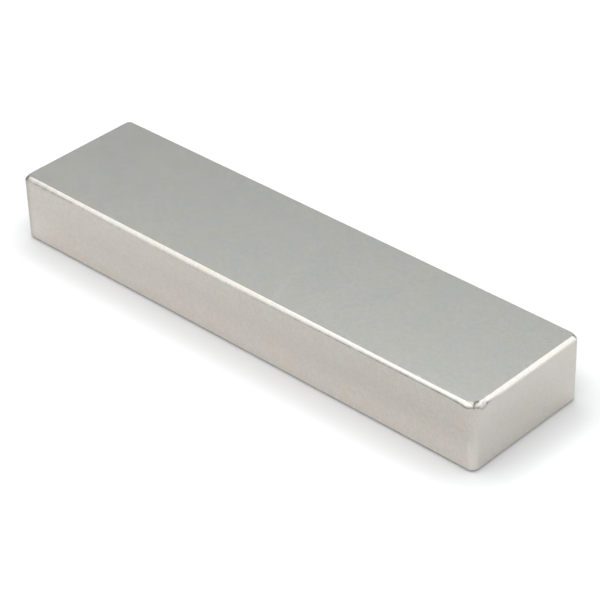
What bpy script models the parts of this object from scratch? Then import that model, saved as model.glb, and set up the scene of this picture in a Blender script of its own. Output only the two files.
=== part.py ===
"""Block magnet: one sintered rectangular block under bright nickel plating.

The block lies on one pole face. Its length runs along X, its width along Y
and its thickness along Z, and the origin is the middle of the lower pole face.
Units are metres.
"""

from math import cos, pi, radians, sin

import bmesh
import bpy

# Block
LENGTH = 0.080
WIDTH = 0.020
THICKNESS = 0.010

# Broken edges round both pole faces
EDGE_INSET = 0.00042
EDGE_DROP = 0.00060
EDGE_FULLNESS = 1.3

# Upright edges, and the one that was rubbed harder, most of all at its top
UPRIGHT_RADIUS = 0.00065
RUBBED_FOOT_RADIUS = 0.00085
RUBBED_TOP_RADIUS = 0.00160

# Fineness of the curves
EDGE_STEPS = 8
CORNER_STEPS = 8

SMOOTH_BELOW = radians(30)

# Bright nickel
NICKEL_COLOUR = (0.60, 0.58, 0.54, 1.0)
NICKEL_ROUGHNESS = 0.28


def clear_scene():
    """Removes every object of the scene."""
    for obj in list(bpy.data.objects):
        bpy.data.objects.remove(obj, do_unlink=True)


def nickel_plating():
    """The plated metal's material."""
    material = bpy.data.materials.new("nickel_plating")
    material.use_nodes = True
    shader = material.node_tree.nodes["Principled BSDF"]
    shader.inputs["Base Color"].default_value = NICKEL_COLOUR
    shader.inputs["Metallic"].default_value = 1.0
    shader.inputs["Roughness"].default_value = NICKEL_ROUGHNESS
    material.diffuse_color = NICKEL_COLOUR
    return material


def broken_edge():
    """(inset, drop) pairs over a broken edge, from the pole face to the side.

    A fullness of 1 is a flat chamfer and 2 is a round edge.
    """
    pairs = []
    for step in range(EDGE_STEPS + 1):
        angle = 0.5 * pi * step / EDGE_STEPS
        across = sin(angle) ** (2 / EDGE_FULLNESS)
        down = cos(angle) ** (2 / EDGE_FULLNESS)
        pairs.append((EDGE_INSET * (1 - across), EDGE_DROP * (1 - down)))
    return pairs


def levels():
    """(inset, height) of each outline, from the lower pole face to the upper one."""
    lower = broken_edge()
    upper = [(inset, THICKNESS - drop) for inset, drop in reversed(lower)]
    return lower + upper


def corner_radii(height):
    """Upright radius of the four corners at a height, the rubbed one first."""
    share = height / THICKNESS
    rubbed = RUBBED_FOOT_RADIUS + share * (RUBBED_TOP_RADIUS - RUBBED_FOOT_RADIUS)
    return rubbed, UPRIGHT_RADIUS, UPRIGHT_RADIUS, UPRIGHT_RADIUS


def outline(inset, height):
    """The block's outline at a height, counter-clockwise from the rubbed corner."""
    half_length = LENGTH / 2 - inset
    half_width = WIDTH / 2 - inset
    signs = ((1, -1), (1, 1), (-1, 1), (-1, -1))
    points = []
    for quarter, (radius, (side_x, side_y)) in enumerate(zip(corner_radii(height), signs)):
        radius = min(radius, half_length, half_width)
        centre_x = side_x * (half_length - radius)
        centre_y = side_y * (half_width - radius)
        for step in range(CORNER_STEPS + 1):
            turn = 0.5 * pi * (quarter - 1 + step / CORNER_STEPS)
            points.append((centre_x + radius * cos(turn), centre_y + radius * sin(turn), height))
    return points


def magnet_block():
    """The block, lofted through its outlines and closed by the two pole faces."""
    mesh = bpy.data.meshes.new("magnet_block")
    form = bmesh.new()
    rings = []
    for inset, height in levels():
        rings.append([form.verts.new(point) for point in outline(inset, height)])
    for below, above in zip(rings, rings[1:]):
        for place, corner in enumerate(below):
            following = (place + 1) % len(below)
            form.faces.new((corner, below[following], above[following], above[place]))
    form.faces.new(reversed(rings[0]))
    form.faces.new(rings[-1])
    form.to_mesh(mesh)
    form.free()
    mesh.shade_smooth()
    mesh.set_sharp_from_angle(angle=SMOOTH_BELOW)
    mesh.materials.append(nickel_plating())
    block = bpy.data.objects.new("magnet_block", mesh)
    bpy.context.scene.collection.objects.link(block)
    return block


clear_scene()
magnet_block()
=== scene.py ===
"""A nickel-plated block magnet, dressed for a studio picture.

The CAD block is the frame. This file lays a finely meshed plated skin in the block's place, with the
small unevenness of its broken edges, and sets a white table, soft lights and the camera round it.
Lengths are metres.
"""

import random
from math import cos, hypot, pi, radians, sin, tan
from typing import NamedTuple

import bmesh
import bpy
import numpy as np
from bpy.props import FloatProperty, FloatVectorProperty, IntProperty, PointerProperty
from mathutils import Matrix, Vector, noise


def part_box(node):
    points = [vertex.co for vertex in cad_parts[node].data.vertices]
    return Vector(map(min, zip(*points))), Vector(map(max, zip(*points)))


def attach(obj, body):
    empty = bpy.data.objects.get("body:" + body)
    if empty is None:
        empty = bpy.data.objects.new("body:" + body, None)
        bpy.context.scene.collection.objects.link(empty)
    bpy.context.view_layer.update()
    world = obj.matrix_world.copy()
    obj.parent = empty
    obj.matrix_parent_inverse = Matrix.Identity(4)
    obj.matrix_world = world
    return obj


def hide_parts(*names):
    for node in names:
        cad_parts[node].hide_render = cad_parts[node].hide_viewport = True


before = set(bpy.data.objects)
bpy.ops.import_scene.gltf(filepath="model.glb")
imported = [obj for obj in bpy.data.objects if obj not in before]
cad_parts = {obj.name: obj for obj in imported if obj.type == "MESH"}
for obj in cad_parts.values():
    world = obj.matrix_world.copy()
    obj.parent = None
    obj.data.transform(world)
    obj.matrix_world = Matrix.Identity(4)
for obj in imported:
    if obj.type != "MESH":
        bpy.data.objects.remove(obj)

bl_info = {
    "name": "Plated Block Magnet",
    "version": (1, 0, 0),
    "blender": (4, 5, 0),
    "location": "View3D > Sidebar > Magnet",
    "description": "Dresses a block magnet in bright nickel and sets it on a white table",
    "category": "Add Mesh",
}

MM = 0.001

# The block, as the frame has it
LOWEST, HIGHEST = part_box("magnet_block")
LENGTH, WIDTH, THICKNESS = (high - low for low, high in zip(LOWEST, HIGHEST))

# Corners run round the block from the rubbed one, and each run goes from its corner to the next
CORNERS = ((1, -1), (1, 1), (-1, 1), (-1, -1))
RUBBED = 0
BEND_STEPS = (72, 24, 24, 24)
RUN_STEPS = (180, 320, 80, 620)

# Rings of the skin over the lower broken edge, up the side and over the upper broken edge
FOOT_STEPS = 8
SIDE_STEPS = 6
TOP_STEPS = 14

# Extra rings this far from where each broken edge starts and ends
SUPPORTS = (0.03 * MM, 0.12 * MM, 0.45 * MM)

# Share of the broken edge's reach that is left on the back and the far end, and at the foot
FAR_REACH = 0.85
FOOT_REACH = 0.75

# Between the far sides and the near ones, as x in lengths less y in widths
FAR_TO_NEAR = (-0.1, 0.1)

# Sizes of the broken edge's slow and quick wander, and the quick one's share
SLOW_WANDER = 3.5 * MM
QUICK_WANDER = 1.1 * MM
QUICK_SHARE = 0.5

# A spot further in than this from both the front and the near end is next to neither
BESIDE = 2 * MM

# How much further down it is rubbed on either side of the rubbed corner, and how far from the corner
FRONT_RUB = 0.30
FRONT_RUB_AWAY = 1.4 * MM
END_RUB = 0.85
END_RUB_AWAY = 1.70 * MM
RUB_WIDTH = 0.75 * MM

# How much less far it reaches on the rubbed corner itself
PINCH_ACROSS = 0.06
PINCH_DOWN = 0.10
PINCH_WIDTH = 0.40 * MM

# How much further it reaches across and down at the front's left end, and how lumpy it is there
LEFT_REACH = 0.30
LEFT_SAG = 0.35
LEFT_LUMPS = 0.12
LEFT_LUMP_SIZE = 1.7 * MM
LEFT_REACH_ALONG = 6 * MM

# How much further down it reaches left of the front's middle
FRONT_SAG = 0.24
FRONT_SAG_AT = -10 * MM
FRONT_SAG_ALONG = 18 * MM

# How much further down it reaches along the near end, and the y over which that sets in
END_SAG = 0.22
END_SAG_FROM = (-WIDTH / 2, -WIDTH / 4)

# How much less far down it reaches in the front's right third
FRONT_RISE = 0.16
FRONT_RISE_AT = 28 * MM
FRONT_RISE_ALONG = 13 * MM

# The small nicks: the draw, each run's share of them, where along a run and how far over the edge
# they lie, their radius, and the shallowest one's share of the full depth
NICK_SEED = 11
NICK_RUNS = (1, 2, 1, 5)
NICK_ALONG = (0.02, 0.98)
NICK_OVER = (0.05, 0.30)
NICK_RADIUS = (0.18 * MM, 0.40 * MM)
NICK_LEAST = 0.3

# The crease across the rubbed corner, as turns from -Y in degrees and shares of the way down the edge
CREASE = ((64, 0.0), (50, 0.30), (46, 0.5), (44, 0.9))
CREASE_WIDTH = 0.13 * MM
# How much painted shade darkens the crease
CREASE_SHADE = 0.80

# A line of painted shade under the upper broken edge, standing in for a dark reflection there: how far
# down the edge it lies, and its width
SHADE_LINE_SHARE = 0.86
SHADE_LINE_WIDTH = 0.085 * MM

# It thins out over these distances from the rubbed corner: to its least on the front, and from a
# smaller share to nothing on the near end
SHADE_LINE_ON_FRONT = (3 * MM, 52 * MM)
LEAST_SHADE_LINE = 0.42
SHADE_LINE_ON_END = (1.2 * MM, 6 * MM)
END_SHADE_LINE = 0.75

# Its even share, and its patches
EVEN_SHADE_LINE = 0.92
SHADE_LINE_PATCHES = 0.25
SHADE_LINE_PATCH_SIZE = 0.6 * MM

# At the left end it lies further up the edge and is wider
SHADE_LINE_AT_LEFT_ALONG = 8 * MM
SHADE_LINE_RISE_AT_LEFT = 0.18
SHADE_LINE_SPREAD_AT_LEFT = 1.5

# Painted shade round the foot, standing in for the contact shadow
FOOT_SHADE = 0.45
FOOT_SHADE_WIDTH = 0.30 * MM

# Painted shade down the upright edge between the front and the left end, standing in for a darker
# reflection there
UPRIGHT_SHADE = 0.32
UPRIGHT_SHADE_WIDTH = 0.8 * MM

# The plating's warmth: in clouds everywhere, on all four sides, and what the long sides add
CLOUD_SIZE = 2.2 * MM
CLOUD_DETAIL = 3.0
CLOUD_RANGE = (0.35, 0.65)
CLOUD_WARMTH = 0.25
SIDE_WARMTH = 0.25
LONG_SIDE_WARMTH = 0.40
CLOUD_ROUGHNESS = 0.02

# Its yellower and bluer tarnish
TARNISH_SIZE = 2.6 * MM
TARNISH_DETAIL = 0.0
YELLOWER = (1.003, 1.0, 0.986, 1.0)
BLUER = (0.997, 1.0, 1.014, 1.0)

# Its flecks and finer specks
FLECK_SIZE = 0.6 * MM
FLECK_SHADES = (-0.02, 0.02)
SPECK_SIZE = 0.16 * MM
SPECK_SHADES = (-0.05, 0.05)
MARK_DETAIL = 2.0

# The part of the noise that turns into tarnish, flecks and specks
MARK_RANGE = (0.3, 0.7)

# Its satin grain
GRAIN_SIZE = 0.12 * MM
GRAIN_DETAIL = 3.0
GRAIN_HEIGHT = 0.001 * MM

# Share of the flecks, specks and grain that shows on the smoother pole faces
POLE_MARKS = 0.68

# The painted shade darkens the plating, and also roughens it
PAINTED_SHADE_DARKENS = 0.9
PAINTED_SHADE_ROUGHENS = 0.2

# How level the surface is where the side's finish fades out and the pole face's sets in
SIDE_LEVELS = (0.0, 0.35)
POLE_LEVELS = (0.93, 0.995)

# Painted shade darkens the sides from a lighter foot up to this share of the height
SIDE_SHADE_ABOVE = 0.6
SIDE_SHADE_AT_FOOT = -0.35

# How much painted shade darkens all four sides, and what the long ones add from the left end to the right
# one
SIDE_SHADE = 0.10
LONG_SIDE_SHADE = (0.04, 0.11)

# The middle of the room's lighter walls, as azimuth and elevation in degrees, and the cosines to it
# over which the dim room turns lighter
BEHIND = (225, 0)
BEHIND_RANGE = (-0.3, 0.5)

# Where those walls are lightest, in the same terms, and the share of light left away from there
LIGHTEST = (222, 52)
LIGHTEST_RANGE = (0.88, 0.98)
LEAST_LIGHT = 0.35

# The table's finish and size, and how its glow fades under and next to the block into a painted contact
# shadow
TABLE_ROUGHNESS = 0.9
TABLE_HALF_WIDTH = 2.0
GLOW_SHADOW_DISTANCE = 6 * MM
GLOW_SHADOW_POWER = 4.0


class PlatedBlockSettings(bpy.types.PropertyGroup):
    """Sizes and finish of the plated block."""

    edge_inset: FloatProperty(
        name="Edge inset",
        description="How far the broken edge reaches across a pole face",
        default=0.41 * MM,
        subtype="DISTANCE",
        precision=5,
    )
    edge_drop: FloatProperty(
        name="Edge drop",
        description="How far the broken edge reaches down a side",
        default=0.60 * MM,
        subtype="DISTANCE",
        precision=5,
    )
    edge_fullness: FloatProperty(
        name="Edge fullness",
        description="1 is a flat chamfer and 2 is a round edge",
        default=1.2,
        min=1.05,
        max=2.0,
    )
    edge_wander: FloatProperty(
        name="Edge wander",
        description="Share by which the broken edge's reach wanders along the block",
        default=0.04,
        min=0.0,
        max=0.3,
    )
    upright_radius: FloatProperty(
        name="Upright radius",
        description="Radius of the upright edges",
        default=0.65 * MM,
        subtype="DISTANCE",
        precision=5,
    )
    rubbed_foot_radius: FloatProperty(
        name="Rubbed foot radius",
        description="Radius of the rubbed upright edge at its foot",
        default=0.85 * MM,
        subtype="DISTANCE",
        precision=5,
    )
    rubbed_top_radius: FloatProperty(
        name="Rubbed top radius",
        description="Radius of the rubbed upright edge at its top",
        default=1.60 * MM,
        subtype="DISTANCE",
        precision=5,
    )
    nick_count: IntProperty(
        name="Nicks",
        description="How many small nicks lie along the broken edges",
        default=60,
        min=0,
    )
    nick_depth: FloatProperty(
        name="Nick depth",
        description="Depth of the deepest small nick",
        default=0.025 * MM,
        subtype="DISTANCE",
        precision=6,
    )
    crease_depth: FloatProperty(
        name="Crease depth",
        description="Depth of the crease across the rubbed corner",
        default=0.010 * MM,
        subtype="DISTANCE",
        precision=6,
    )
    nickel: FloatVectorProperty(
        name="Nickel",
        description="Colour of the plating",
        default=(0.618, 0.606, 0.570),
        subtype="COLOR",
        min=0.0,
        max=1.0,
    )
    warm_nickel: FloatVectorProperty(
        name="Warm nickel",
        description="Colour of the plating where it is warmest, in clouds and on the sides",
        default=(0.628, 0.584, 0.534),
        subtype="COLOR",
        min=0.0,
        max=1.0,
    )
    pole_roughness: FloatProperty(
        name="Pole roughness",
        description="Roughness of the plating on the two pole faces",
        default=0.24,
        min=0.0,
        max=1.0,
    )
    edge_roughness: FloatProperty(
        name="Edge roughness",
        description="Roughness of the brighter plating on the broken edges",
        default=0.17,
        min=0.0,
        max=1.0,
    )
    side_roughness: FloatProperty(
        name="Side roughness",
        description="Roughness of the duller plating on the four sides",
        default=0.42,
        min=0.0,
        max=1.0,
    )


class StudioSettings(bpy.types.PropertyGroup):
    """The table, the room and the camera."""

    table: FloatVectorProperty(
        name="Table",
        description="Colour of the white table",
        default=(0.700, 0.704, 0.710),
        subtype="COLOR",
        min=0.0,
        max=1.0,
    )
    table_glow: FloatProperty(
        name="Table glow",
        description="White added to the table where it is seen directly or in the metal",
        default=0.25,
        min=0.0,
        max=1.0,
    )
    room: FloatVectorProperty(
        name="Room",
        description="Colour of the room behind the block",
        default=(0.688, 0.724, 0.726),
        subtype="COLOR",
        min=0.0,
        max=1.0,
    )
    dim_room: FloatVectorProperty(
        name="Dim room",
        description="Colour of the rest of the room",
        default=(0.20, 0.20, 0.20),
        subtype="COLOR",
        min=0.0,
        max=1.0,
    )
    focal_length: FloatProperty(
        name="Focal length",
        description="Focal length of the camera in millimetres",
        default=141.2,
        min=1.0,
    )
    camera_azimuth: FloatProperty(
        name="Camera azimuth",
        description="How far round the camera stands, from -Y towards +X",
        default=radians(44.2464),
        subtype="ANGLE",
    )
    camera_elevation: FloatProperty(
        name="Camera elevation",
        description="How far the camera looks down",
        default=radians(34.4285),
        subtype="ANGLE",
    )
    camera_roll: FloatProperty(
        name="Camera roll",
        description="How far the camera leans about its own line of sight",
        default=radians(-1.843),
        subtype="ANGLE",
    )
    camera_distance: FloatProperty(
        name="Camera distance",
        description="Distance from the camera to the point it looks at",
        default=3.9062 * LENGTH,
        subtype="DISTANCE",
    )
    camera_target: FloatVectorProperty(
        name="Camera target",
        description="Point that the camera looks at",
        default=(-0.0119 * LENGTH, 0.0418 * LENGTH, 0.0),
        subtype="TRANSLATION",
    )


class SoftLight(NamedTuple):
    """A rectangular soft light aimed at the block, with angles in degrees. Strength 1 is a white face."""

    name: str
    azimuth: float
    elevation: float
    lean: float
    distance: float
    width: float
    height: float
    strength: float
    colour: tuple = (1.0, 1.0, 1.0)


SOFT_LIGHTS = (
    SoftLight("ceiling_softbox", -60, 78, 0, 0.65, 1.24, 1.12, 1.10),
    SoftLight("ceiling_fringe", -60, 78, 0, 0.65, 1.40, 1.24, 0.30),
    SoftLight("left_softbox", -33, 20.5, 22, 0.90, 0.52, 0.67, 1.26, (1.02, 0.995, 0.975)),
    SoftLight("left_strip", -84, 42, 0, 0.90, 0.84, 0.18, 1.00),
    SoftLight("front_left_softbox", 7, 29, 0, 0.90, 0.82, 0.56, 1.20),
    SoftLight("corner_softbox", 74, 33, 0, 0.90, 1.66, 0.62, 1.06),
    SoftLight("right_softbox", 131, 22, 0, 0.90, 0.50, 0.72, 1.36, (0.99, 1.0, 1.017)),
)


class Place(NamedTuple):
    """A place round the block: on a corner's bend, or at a share of the run to the next corner."""

    corner: int
    turn: float
    share: float


def smooth_step(value, start, end):
    """0 at start, 1 at end and a smooth rise between them."""
    share = np.clip((value - start) / (end - start), 0, 1)
    return share * share * (3 - 2 * share)


def hump(value, centre, width):
    """1 at centre, falling smoothly to nothing a few widths away."""
    return np.exp(-(((value - centre) / width) ** 2))


def edge_profile(inset, drop, fullness, steps):
    """(inset, drop) pairs over a broken edge from pole face to side, in equal turns of the surface."""
    pairs = [(inset, 0.0)]
    for step in range(1, steps):
        ratio = tan(0.5 * pi * (1 - step / steps)) ** (1 / (fullness - 1))
        across = (1 + ratio**fullness) ** (-1 / fullness)
        pairs.append((inset * (1 - across), drop * (1 - ratio * across)))
    pairs.append((0.0, drop))
    return pairs


def run_share(corner, even):
    """Share of the way along a run, with the steps closer together next to the rubbed corner."""
    if corner == RUBBED:
        return 0.5 * (even + even**2)
    if (corner + 1) % 4 == RUBBED:
        return 1 - 0.5 * ((1 - even) + (1 - even) ** 2)
    return even


def places_round():
    """Every place round the block where the skin has a column of points."""
    places = []
    for corner in range(4):
        first = 0.5 * pi * (corner - 1)
        last = first + 0.5 * pi
        for step in range(BEND_STEPS[corner] + 1):
            places.append(Place(corner, first + 0.5 * pi * step / BEND_STEPS[corner], 0.0))
        for step in range(1, RUN_STEPS[corner]):
            places.append(Place(corner, last, run_share(corner, step / RUN_STEPS[corner])))
    return places


def bend_radius(settings, corner, height):
    """Radius of an upright edge at a height. The rubbed one grows from foot to top."""
    if corner != RUBBED:
        return settings.upright_radius
    growth = settings.rubbed_top_radius - settings.rubbed_foot_radius
    return settings.rubbed_foot_radius + growth * height / THICKNESS


def bend_point(settings, corner, turn, inset, height):
    """A point on a corner's bend, that far in from the block's sides."""
    radius = bend_radius(settings, corner, height)
    side_x, side_y = CORNERS[corner]
    x = side_x * (LENGTH / 2 - inset - radius) + radius * cos(turn)
    y = side_y * (WIDTH / 2 - inset - radius) + radius * sin(turn)
    return Vector((x, y, height))


def skin_point(settings, place, inset, height):
    """Where a place lies, that far in from the block's sides."""
    here = bend_point(settings, place.corner, place.turn, inset, height)
    if place.share == 0.0:
        return here
    there = bend_point(settings, (place.corner + 1) % 4, place.turn, inset, height)
    return here.lerp(there, place.share)


def away_from_rubbed(spot):
    """Distance from the rubbed corner: negative along the front and positive along the near end."""
    from_end = LENGTH / 2 - spot.x
    from_front = WIDTH / 2 + spot.y
    if min(from_end, from_front) > BESIDE:
        return LENGTH
    return from_front - from_end


def edge_reach(settings, spot):
    """(across, down): how far the broken edge reaches at a spot, as shares of its plain reach."""
    wander = noise.noise(spot / SLOW_WANDER) + QUICK_SHARE * noise.noise(spot / QUICK_WANDER)
    near = smooth_step(spot.x / LENGTH - spot.y / WIDTH, *FAR_TO_NEAR)
    reach = (1 + settings.edge_wander * wander) * (FAR_REACH + (1 - FAR_REACH) * near)
    if spot.z < THICKNESS / 2:
        return FOOT_REACH * reach, FOOT_REACH * reach
    away = away_from_rubbed(spot)
    front = FRONT_RUB * hump(away, -FRONT_RUB_AWAY, RUB_WIDTH)
    end = END_RUB * hump(away, END_RUB_AWAY, RUB_WIDTH)
    pinch = hump(away, 0.0, PINCH_WIDTH)
    left = near * hump(spot.x, -LENGTH / 2, LEFT_REACH_ALONG)
    lumps = LEFT_LUMPS * noise.noise(spot / LEFT_LUMP_SIZE)
    front += left * (LEFT_SAG + lumps)
    front += FRONT_SAG * near * hump(spot.x, FRONT_SAG_AT, FRONT_SAG_ALONG)
    front -= FRONT_RISE * near * hump(spot.x, FRONT_RISE_AT, FRONT_RISE_ALONG)
    end += END_SAG * near * smooth_step(spot.y, *END_SAG_FROM)
    across = 1 + left * (LEFT_REACH + lumps) - PINCH_ACROSS * pinch
    down = 1 + front + end - PINCH_DOWN * pinch
    return reach * across, reach * down


def skin_column(settings, place, foot, top):
    """The points of one column, from the lower pole face up the side to the upper one."""
    low, _ = edge_reach(settings, skin_point(settings, place, 0.0, 0.0))
    across, down = edge_reach(settings, skin_point(settings, place, 0.0, THICKNESS))
    side_foot = settings.edge_drop * low
    side_top = THICKNESS - settings.edge_drop * down
    levels = [(settings.edge_inset * low + support, 0.0) for support in reversed(SUPPORTS)]
    levels += [(inset * low, drop * low) for inset, drop in foot]
    levels += [(0.0, side_foot + support) for support in SUPPORTS]
    for step in range(1, SIDE_STEPS):
        levels.append((0.0, side_foot + (side_top - side_foot) * step / SIDE_STEPS))
    levels += [(0.0, side_top - support) for support in reversed(SUPPORTS)]
    levels += [(inset * across, THICKNESS - drop * down) for inset, drop in reversed(top)]
    levels += [(settings.edge_inset * across + support, THICKNESS) for support in SUPPORTS]
    return [skin_point(settings, place, inset, height) for inset, height in levels]


def skin_points(settings, places):
    """The skin's points, as an array of rings by places by xyz."""
    reach = (settings.edge_inset, settings.edge_drop, settings.edge_fullness)
    foot = edge_profile(*reach, FOOT_STEPS)
    top = edge_profile(*reach, TOP_STEPS)
    columns = [skin_column(settings, place, foot, top) for place in places]
    return np.array(columns).transpose(1, 0, 2)


def distance_to_path(points, path):
    """Distance from each point to a line through the path's points."""
    nearest = np.full(points.shape[:-1], np.inf)
    for start, end in zip(path, path[1:]):
        way = end - start
        share = np.clip((points - start) @ way / (way @ way), 0, 1)
        gap = np.linalg.norm(points - (start + share[..., None] * way), axis=-1)
        nearest = np.minimum(nearest, gap)
    return nearest


def crease_path(settings):
    """The crease across the rubbed corner's broken edge, as points on it."""
    path = []
    for degrees, share in CREASE:
        turn = radians(degrees - 90)
        across, down = edge_reach(settings, bend_point(settings, RUBBED, turn, 0.0, THICKNESS))
        reach = (settings.edge_inset * across, settings.edge_drop * down)
        profile = edge_profile(*reach, settings.edge_fullness, TOP_STEPS)
        inset, drop = profile[round(share * TOP_STEPS)]
        path.append(np.array(bend_point(settings, RUBBED, turn, inset, THICKNESS - drop)))
    return path


def nicks(settings):
    """(centre, radius, depth) of the small nicks, drawn along the eight long edges."""
    draw = random.Random(NICK_SEED)
    found = []
    for _ in range(settings.nick_count):
        corner = draw.choices(range(4), NICK_RUNS)[0]
        place = Place(corner, 0.5 * pi * corner, draw.uniform(*NICK_ALONG))
        height = draw.choice((0.0, THICKNESS, THICKNESS))
        inset = settings.edge_inset * draw.uniform(*NICK_OVER)
        centre = np.array(skin_point(settings, place, inset, height))
        radius = draw.uniform(*NICK_RADIUS)
        found.append((centre, radius, settings.nick_depth * draw.uniform(NICK_LEAST, 1.0)))
    return found


def press_in_wear(settings, places, points):
    """Presses the crease and the nicks into all but the end rings. Returns the painted shade in the
    crease.
    """
    creased = hump(distance_to_path(points, crease_path(settings)), 0.0, CREASE_WIDTH)
    depth = settings.crease_depth * creased
    for centre, radius, deepest in nicks(settings):
        depth += deepest * hump(np.linalg.norm(points - centre, axis=-1), 0.0, radius)
    depth[[0, -1]] = 0.0
    inward = np.zeros_like(points)
    inward[..., 0] = [-cos(place.turn) for place in places]
    inward[..., 1] = [-sin(place.turn) for place in places]
    inward[..., 2] = np.sign(THICKNESS / 2 - points[..., 2])
    points += depth[..., None] * inward / np.sqrt(2)
    return CREASE_SHADE * creased


def shade_line_held(away):
    """How much painted shade the line under the broken edge has that far round from the rubbed corner."""
    if away > 0:
        return END_SHADE_LINE * (1 - smooth_step(away, *SHADE_LINE_ON_END))
    return LEAST_SHADE_LINE + (1 - LEAST_SHADE_LINE) * (1 - smooth_step(-away, *SHADE_LINE_ON_FRONT))


def painted_shade_marks(settings, places, points):
    """How much painted shade each point has under the upper broken edge, at the foot and up the left edge.
    """
    painted_shade = np.zeros(points.shape[:-1])
    for column, place in enumerate(places):
        spot = skin_point(settings, place, 0.0, THICKNESS)
        patchy = EVEN_SHADE_LINE + SHADE_LINE_PATCHES * noise.noise(spot / SHADE_LINE_PATCH_SIZE)
        left = hump(spot.x, -LENGTH / 2, SHADE_LINE_AT_LEFT_ALONG)
        _, down = edge_reach(settings, spot)
        height = THICKNESS - (SHADE_LINE_SHARE - SHADE_LINE_RISE_AT_LEFT * left) * settings.edge_drop * down
        held = shade_line_held(away_from_rubbed(spot)) * patchy
        width = SHADE_LINE_WIDTH * (1 + SHADE_LINE_SPREAD_AT_LEFT * left) * down
        # Painted shade line under the upper broken edge
        painted_shade[:, column] = held * hump(points[:, column, 2], height, width)
        # Painted contact shadow round the foot
        painted_shade[1:-1, column] += FOOT_SHADE * hump(points[1:-1, column, 2], 0.0, FOOT_SHADE_WIDTH)
        from_left = hypot(spot.x + LENGTH / 2, spot.y + WIDTH / 2)
        # Painted shade down the left upright edge
        painted_shade[1:-1, column] += UPRIGHT_SHADE * hump(from_left, 0.0, UPRIGHT_SHADE_WIDTH)
    return painted_shade


def skin_mesh(settings):
    """The plated skin: rings of points from foot to top, closed by the two pole faces."""
    places = places_round()
    points = skin_points(settings, places)
    painted_shade = painted_shade_marks(settings, places, points)
    painted_shade = np.clip(np.maximum(painted_shade, press_in_wear(settings, places, points)), 0, 1)
    form = bmesh.new()
    rings = [[form.verts.new(point) for point in ring] for ring in points]
    for below, above in zip(rings, rings[1:]):
        for column, vert in enumerate(below):
            following = (column + 1) % len(below)
            form.faces.new((vert, below[following], above[following], above[column]))
    form.faces.new(reversed(rings[0]))
    form.faces.new(rings[-1])
    mesh = bpy.data.meshes.new("plated_block")
    form.to_mesh(mesh)
    form.free()
    mesh.shade_smooth()
    # The painted shade goes to the material as a point attribute
    mesh.attributes.new("painted_shade", "FLOAT", "POINT").data.foreach_set("value", painted_shade.ravel())
    return mesh


def feed(tree, socket, value):
    """Links a socket, or sets a plain value."""
    if isinstance(value, bpy.types.NodeSocket):
        tree.links.new(value, socket)
    else:
        socket.default_value = value


def add_math(tree, operation, *values):
    """A Math node of sockets and numbers."""
    node = tree.nodes.new("ShaderNodeMath")
    node.operation = operation
    for socket, value in zip(node.inputs, values):
        feed(tree, socket, value)
    return node.outputs["Value"]


def add_mix(tree, blend, factor, first, second):
    """A mix of two colours."""
    node = tree.nodes.new("ShaderNodeMix")
    node.data_type = "RGBA"
    node.blend_type = blend
    feed(tree, node.inputs["Factor"], factor)
    feed(tree, node.inputs["A"], first)
    feed(tree, node.inputs["B"], second)
    return node.outputs["Result"]


def add_range(tree, value, source, result):
    """A smooth rise from one range of values to another."""
    node = tree.nodes.new("ShaderNodeMapRange")
    node.interpolation_type = "SMOOTHSTEP"
    node.inputs["From Min"].default_value, node.inputs["From Max"].default_value = source
    node.inputs["To Min"].default_value, node.inputs["To Max"].default_value = result
    tree.links.new(value, node.inputs["Value"])
    return node.outputs["Result"]


def add_noise(tree, spot, size, detail):
    """A noise with blotches of about that size."""
    node = tree.nodes.new("ShaderNodeTexNoise")
    node.inputs["Scale"].default_value = 1 / size
    node.inputs["Detail"].default_value = detail
    tree.links.new(spot, node.inputs["Vector"])
    return node.outputs["Fac"]


def add_painted_side_shade(tree, spot, side, across):
    """A painted shade that darkens the sides upwards, the long ones more to the right, and lightens their
    foot with painted light.
    """
    part = tree.nodes.new("ShaderNodeSeparateXYZ")
    tree.links.new(spot, part.inputs["Vector"])
    high = add_range(tree, part.outputs["Z"], (0.0, SIDE_SHADE_ABOVE * THICKNESS), (SIDE_SHADE_AT_FOOT, 1.0))
    along = add_range(tree, part.outputs["X"], (-LENGTH / 2, LENGTH / 2), LONG_SIDE_SHADE)
    side_shade = add_math(tree, "MULTIPLY_ADD", across, along, SIDE_SHADE)
    side_shade = add_math(tree, "MULTIPLY", add_math(tree, "MULTIPLY", side_shade, high), side)
    return add_math(tree, "SUBTRACT", 1.0, side_shade)


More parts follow.
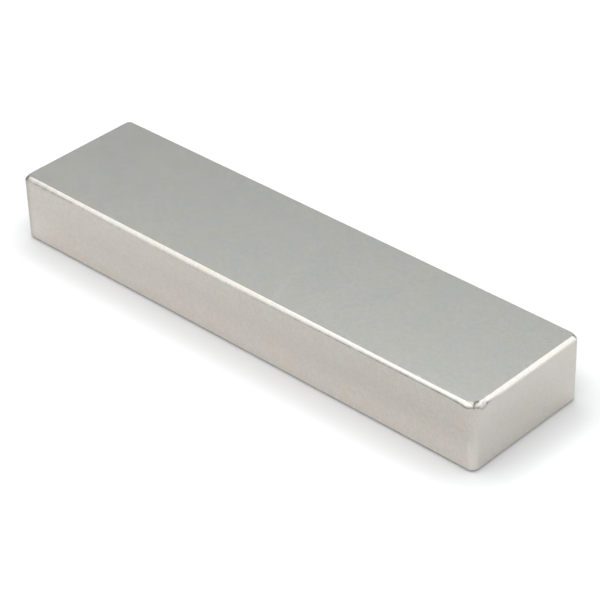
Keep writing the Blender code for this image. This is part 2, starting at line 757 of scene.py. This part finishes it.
def nickel_material(settings):
    """Satin nickel: fine grain, faint warm clouds, rougher sides with painted shade, and painted shade in
    its crease, under its upper edge, at its foot and down its left upright edge.
    """
    material = bpy.data.materials.new("bright_nickel")
    material.use_nodes = True
    tree = material.node_tree
    shader = tree.nodes["Principled BSDF"]
    shader.inputs["Metallic"].default_value = 1.0

    where = tree.nodes.new("ShaderNodeTexCoord")
    spot = where.outputs["Object"]
    facing = tree.nodes.new("ShaderNodeSeparateXYZ")
    tree.links.new(where.outputs["Normal"], facing.inputs["Vector"])
    level = add_math(tree, "ABSOLUTE", facing.outputs["Z"])
    side = add_range(tree, level, SIDE_LEVELS, (1.0, 0.0))
    # Painted shade, read from the point attribute
    painted_shade = tree.nodes.new("ShaderNodeAttribute")
    painted_shade.attribute_name = "painted_shade"

    clouds = add_range(tree, add_noise(tree, spot, CLOUD_SIZE, CLOUD_DETAIL), CLOUD_RANGE, (0.0, 1.0))
    across = add_math(tree, "ABSOLUTE", facing.outputs["Y"])
    side_warmth = add_math(tree, "MULTIPLY_ADD", across, LONG_SIDE_WARMTH, SIDE_WARMTH)
    side_warmth = add_math(tree, "MULTIPLY", side, side_warmth)
    warmth = add_math(tree, "MULTIPLY_ADD", clouds, CLOUD_WARMTH, side_warmth)
    plating = add_mix(tree, "MIX", warmth, (*settings.nickel, 1.0), (*settings.warm_nickel, 1.0))
    tarnish = add_noise(tree, spot, TARNISH_SIZE, TARNISH_DETAIL)
    tarnish = add_range(tree, tarnish, MARK_RANGE, (0.0, 1.0))
    tint = add_mix(tree, "MIX", tarnish, YELLOWER, BLUER)
    plating = add_mix(tree, "MULTIPLY", 1.0, plating, tint)
    specks = add_noise(tree, spot, SPECK_SIZE, MARK_DETAIL)
    specks = add_range(tree, specks, MARK_RANGE, SPECK_SHADES)
    flecks = add_noise(tree, spot, FLECK_SIZE, MARK_DETAIL)
    flecks = add_range(tree, flecks, MARK_RANGE, FLECK_SHADES)
    marked = add_math(tree, "MULTIPLY_ADD", side, 1 - POLE_MARKS, POLE_MARKS)
    shade = add_math(tree, "MULTIPLY_ADD", add_math(tree, "ADD", specks, flecks), marked, 1.0)
    # The painted shade darkens the colour
    shade_darkened = add_math(tree, "MULTIPLY_ADD", painted_shade.outputs["Fac"], -PAINTED_SHADE_DARKENS, 1.0)
    shade = add_math(tree, "MULTIPLY", shade, shade_darkened)
    # Painted shade and painted light on the sides
    shade = add_math(tree, "MULTIPLY", shade, add_painted_side_shade(tree, spot, side, across))
    colour = add_mix(tree, "MULTIPLY", 1.0, plating, shade)
    tree.links.new(colour, shader.inputs["Base Color"])

    pole = add_range(tree, level, POLE_LEVELS, (0.0, 1.0))
    over_side = settings.side_roughness - settings.edge_roughness
    over_pole = settings.pole_roughness - settings.edge_roughness
    rough = add_math(tree, "MULTIPLY_ADD", side, over_side, settings.edge_roughness)
    rough = add_math(tree, "MULTIPLY_ADD", pole, over_pole, rough)
    rough = add_math(tree, "MULTIPLY_ADD", clouds, CLOUD_ROUGHNESS, rough)
    rough = add_math(tree, "MULTIPLY_ADD", painted_shade.outputs["Fac"], PAINTED_SHADE_ROUGHENS, rough)
    tree.links.new(rough, shader.inputs["Roughness"])

    grain = tree.nodes.new("ShaderNodeBump")
    tree.links.new(marked, grain.inputs["Strength"])
    grain.inputs["Distance"].default_value = GRAIN_HEIGHT
    tree.links.new(add_noise(tree, spot, GRAIN_SIZE, GRAIN_DETAIL), grain.inputs["Height"])
    tree.links.new(grain.outputs["Normal"], shader.inputs["Normal"])
    return material


class MAGNET_OT_plated_block(bpy.types.Operator):
    """Lays the plated skin in the CAD block's place"""

    bl_idname = "magnet.plated_block"
    bl_label = "Plated block"
    bl_options = {"REGISTER", "UNDO"}

    def execute(self, context):
        settings = context.scene.plated_block
        mesh = skin_mesh(settings)
        mesh.materials.append(nickel_material(settings))
        block = bpy.data.objects.new("plated_block", mesh)
        context.scene.collection.objects.link(block)
        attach(block, "root")
        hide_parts("magnet_block")
        return {"FINISHED"}


def around(azimuth, elevation, distance):
    """A point round the origin. Azimuth 0 is on -Y and 90 degrees is on +X."""
    return Vector(
        (
            sin(azimuth) * cos(elevation) * distance,
            -cos(azimuth) * cos(elevation) * distance,
            sin(elevation) * distance,
        )
    )


def add_soft_light(scene, plan):
    """Adds one planned soft light, facing the block."""
    lamp = bpy.data.lights.new(plan.name, "AREA")
    lamp.shape = "RECTANGLE"
    lamp.size = plan.width
    lamp.size_y = plan.height
    lamp.energy = plan.strength * pi * plan.width * plan.height
    lamp.color = plan.colour
    light = bpy.data.objects.new(plan.name, lamp)
    place = around(radians(plan.azimuth), radians(plan.elevation), plan.distance)
    facing = place.to_track_quat("Z", "Y").to_matrix().to_4x4()
    lean = Matrix.Rotation(radians(plan.lean), 4, "Z")
    light.matrix_world = Matrix.Translation(place) @ facing @ lean
    light.visible_camera = False
    scene.collection.objects.link(light)


def add_camera(scene, settings):
    """The camera, where the photograph was taken from."""
    data = bpy.data.cameras.new("camera")
    data.lens = settings.focal_length
    data.sensor_fit = "HORIZONTAL"
    camera = bpy.data.objects.new("camera", data)
    camera.matrix_world = (
        Matrix.Translation(settings.camera_target)
        @ Matrix.Rotation(settings.camera_azimuth, 4, "Z")
        @ Matrix.Rotation(pi / 2 - settings.camera_elevation, 4, "X")
        @ Matrix.Rotation(settings.camera_roll, 4, "Z")
        @ Matrix.Translation((0, 0, settings.camera_distance))
    )
    scene.collection.objects.link(camera)
    scene.camera = camera


def table_material(settings):
    """A matt white table. Its glow shows only where it is seen directly, in metal or through glass, and
    fades into a painted contact shadow next to the block.
    """
    material = bpy.data.materials.new("white_table")
    material.use_nodes = True
    tree = material.node_tree
    shader = tree.nodes["Principled BSDF"]
    shader.inputs["Base Color"].default_value = (*settings.table, 1.0)
    shader.inputs["Roughness"].default_value = TABLE_ROUGHNESS
    shader.inputs["Specular IOR Level"].default_value = 0.0
    shader.inputs["Emission Color"].default_value = (1.0, 1.0, 1.0, 1.0)
    path = tree.nodes.new("ShaderNodeLightPath")
    seen = add_math(tree, "MAXIMUM", path.outputs["Is Camera Ray"], path.outputs["Is Glossy Ray"])
    seen = add_math(tree, "MAXIMUM", seen, path.outputs["Is Transmission Ray"])
    # Painted contact shadow: the glow fades where the block occludes the table
    shade = tree.nodes.new("ShaderNodeAmbientOcclusion")
    shade.inputs["Distance"].default_value = GLOW_SHADOW_DISTANCE
    glow = add_math(tree, "POWER", shade.outputs["AO"], GLOW_SHADOW_POWER)
    glow = add_math(tree, "MULTIPLY", glow, settings.table_glow)
    tree.links.new(add_math(tree, "MULTIPLY", seen, glow), shader.inputs["Emission Strength"])
    return material


def add_table(scene, settings):
    """A wide table top at the block's foot."""
    half = TABLE_HALF_WIDTH
    corners = [(-half, -half, 0), (half, -half, 0), (half, half, 0), (-half, half, 0)]
    mesh = bpy.data.meshes.new("table")
    mesh.from_pydata(corners, [], [(0, 1, 2, 3)])
    mesh.materials.append(table_material(settings))
    table = bpy.data.objects.new("table", mesh)
    scene.collection.objects.link(table)


def add_towards(tree, way, azimuth, elevation):
    """Cosine between a way and a direction in degrees: 1 is straight there and -1 is straight away."""
    node = tree.nodes.new("ShaderNodeVectorMath")
    node.operation = "DOT_PRODUCT"
    node.inputs[1].default_value = around(radians(azimuth), radians(elevation), 1)
    tree.links.new(way, node.inputs[0])
    return node.outputs["Value"]


def add_room(scene, settings):
    """A dim room with lighter walls behind the block, lightest high up."""
    scene.world = bpy.data.worlds.new("room")
    scene.world.use_nodes = True
    tree = scene.world.node_tree
    way = tree.nodes.new("ShaderNodeTexCoord").outputs["Generated"]
    behind = add_range(tree, add_towards(tree, way, *BEHIND), BEHIND_RANGE, (0.0, 1.0))
    lightest = add_range(tree, add_towards(tree, way, *LIGHTEST), LIGHTEST_RANGE, (LEAST_LIGHT, 1.0))
    lighter = add_math(tree, "MULTIPLY", behind, lightest)
    walls = add_mix(tree, "MIX", lighter, (*settings.dim_room, 1.0), (*settings.room, 1.0))
    tree.links.new(walls, tree.nodes["Background"].inputs["Color"])


class MAGNET_OT_studio(bpy.types.Operator):
    """Sets the white table, the soft lights, the room and the camera"""

    bl_idname = "magnet.studio"
    bl_label = "Studio"
    bl_options = {"REGISTER", "UNDO"}

    def execute(self, context):
        scene = context.scene
        add_table(scene, scene.studio)
        add_room(scene, scene.studio)
        for plan in SOFT_LIGHTS:
            add_soft_light(scene, plan)
        add_camera(scene, scene.studio)
        scene.view_settings.view_transform = "Standard"
        return {"FINISHED"}


class MAGNET_PT_sidebar(bpy.types.Panel):
    """Lists the steps that dress the magnet"""

    bl_idname = "MAGNET_PT_sidebar"
    bl_label = "Plated Block Magnet"
    bl_space_type = "VIEW_3D"
    bl_region_type = "UI"
    bl_category = "Magnet"

    def draw(self, context):
        self.layout.operator(MAGNET_OT_studio.bl_idname)
        self.layout.operator(MAGNET_OT_plated_block.bl_idname)


CLASSES = (
    PlatedBlockSettings,
    StudioSettings,
    MAGNET_OT_plated_block,
    MAGNET_OT_studio,
    MAGNET_PT_sidebar,
)


def register():
    """Adds the classes and their settings to Blender."""
    for cls in CLASSES:
        bpy.utils.register_class(cls)
    bpy.types.Scene.plated_block = PointerProperty(type=PlatedBlockSettings)
    bpy.types.Scene.studio = PointerProperty(type=StudioSettings)


def unregister():
    """Takes the settings and the classes out of Blender again."""
    del bpy.types.Scene.studio
    del bpy.types.Scene.plated_block
    for cls in reversed(CLASSES):
        bpy.utils.unregister_class(cls)


def main():
    """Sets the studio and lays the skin."""
    register()
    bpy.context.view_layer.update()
    bpy.ops.magnet.studio()
    bpy.ops.magnet.plated_block()


if __name__ == "__main__":
    main()
